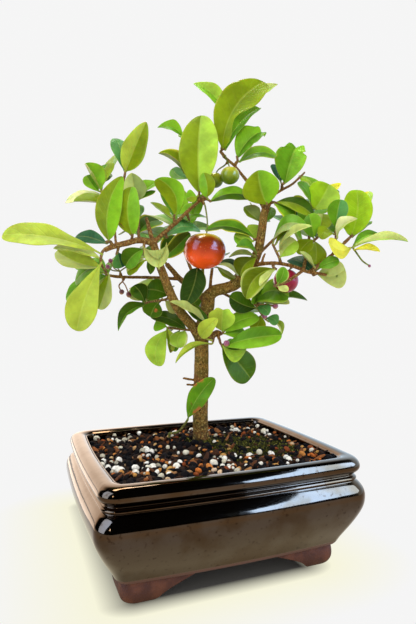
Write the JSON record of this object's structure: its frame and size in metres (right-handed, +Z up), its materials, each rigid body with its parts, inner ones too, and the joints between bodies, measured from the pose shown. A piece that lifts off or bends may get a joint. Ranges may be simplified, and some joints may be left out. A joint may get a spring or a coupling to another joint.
{
  "type": "barbados cherry bonsai",
  "caption": "Small Barbados cherry tree with a slender forked trunk, glossy leaves and red fruit, growing in a dark glazed rectangular pot on feet.",
  "frame": {"origin": "middle of the whole object's box, at the level that the pot's feet rest on", "axes": "+Z up, +X along the pot's long side, +Y along its short side, away from its front"},
  "size_m": [0.2342, 0.1946, 0.3105],
  "materials": {
    "pot_glaze": "glossy dark brown glaze that breaks to amber on its edges, over brown clay feet",
    "soil": "matt dark potting soil with white perlite, bark chips and moss",
    "bark": "matt grey-brown bark with pale speckles",
    "leaf": "satin green leaf",
    "cherry": "glossy orange-red fruit skin",
    "cherry_dark": "glossy dark red fruit skin",
    "berry": "glossy green unripe fruit skin",
    "bud": "matt pink to red-brown buds"
  },
  "bodies": {
    "root": {"berry_front": "berry", "berry_rear": "berry", "cherry_front": "cherry", "cherry_right": "cherry_dark", "flower_buds": "bud", "fruitlets": "bud", "leaves_back_left": "leaf", "leaves_back_right": "leaf", "leaves_bud_twig": "leaf", "leaves_centre_back": "leaf", "leaves_centre_right": "leaf", "leaves_centre_top": "leaf", "leaves_crotch": "leaf", "leaves_crotch_back": "leaf", "leaves_crown": "leaf", "leaves_crown_right": "leaf", "leaves_fruit_twig": "leaf", "leaves_left_cup": "leaf", "leaves_left_drop": "leaf", "leaves_left_hang": "leaf", "leaves_left_inner": "leaf", "leaves_left_low": "leaf", "leaves_left_mid": "leaf", "leaves_left_tip": "leaf", "leaves_left_upper_tip": "leaf", "leaves_left_upright": "leaf", "leaves_low_fan": "leaf", "leaves_low_left": "leaf", "leaves_low_right_down": "leaf", "leaves_low_right_front": "leaf", "leaves_low_right_up": "leaf", "leaves_mid_blue": "leaf", "leaves_mid_green": "leaf", "leaves_mid_olive": "leaf", "leaves_rear": "leaf", "leaves_right_arc": "leaf", "leaves_right_back": "leaf", "leaves_right_bitten": "leaf", "leaves_right_centre": "leaf", "leaves_right_hang": "leaf", "leaves_right_inner": "leaf", "leaves_right_inner_low": "leaf", "leaves_right_low": "leaf", "leaves_right_mid": "leaf", "leaves_right_outer": "leaf", "leaves_right_outer_mid": "leaf", "leaves_right_tip": "leaf", "leaves_right_two_tone": "leaf", "leaves_right_under": "leaf", "leaves_right_upper": "leaf", "leaves_under_cherry": "leaf", "leaves_upper_left": "leaf", "pot": "pot_glaze", "shoot": "leaf", "soil": "soil", "wood": "bark"}
  },
  "joints": []
}
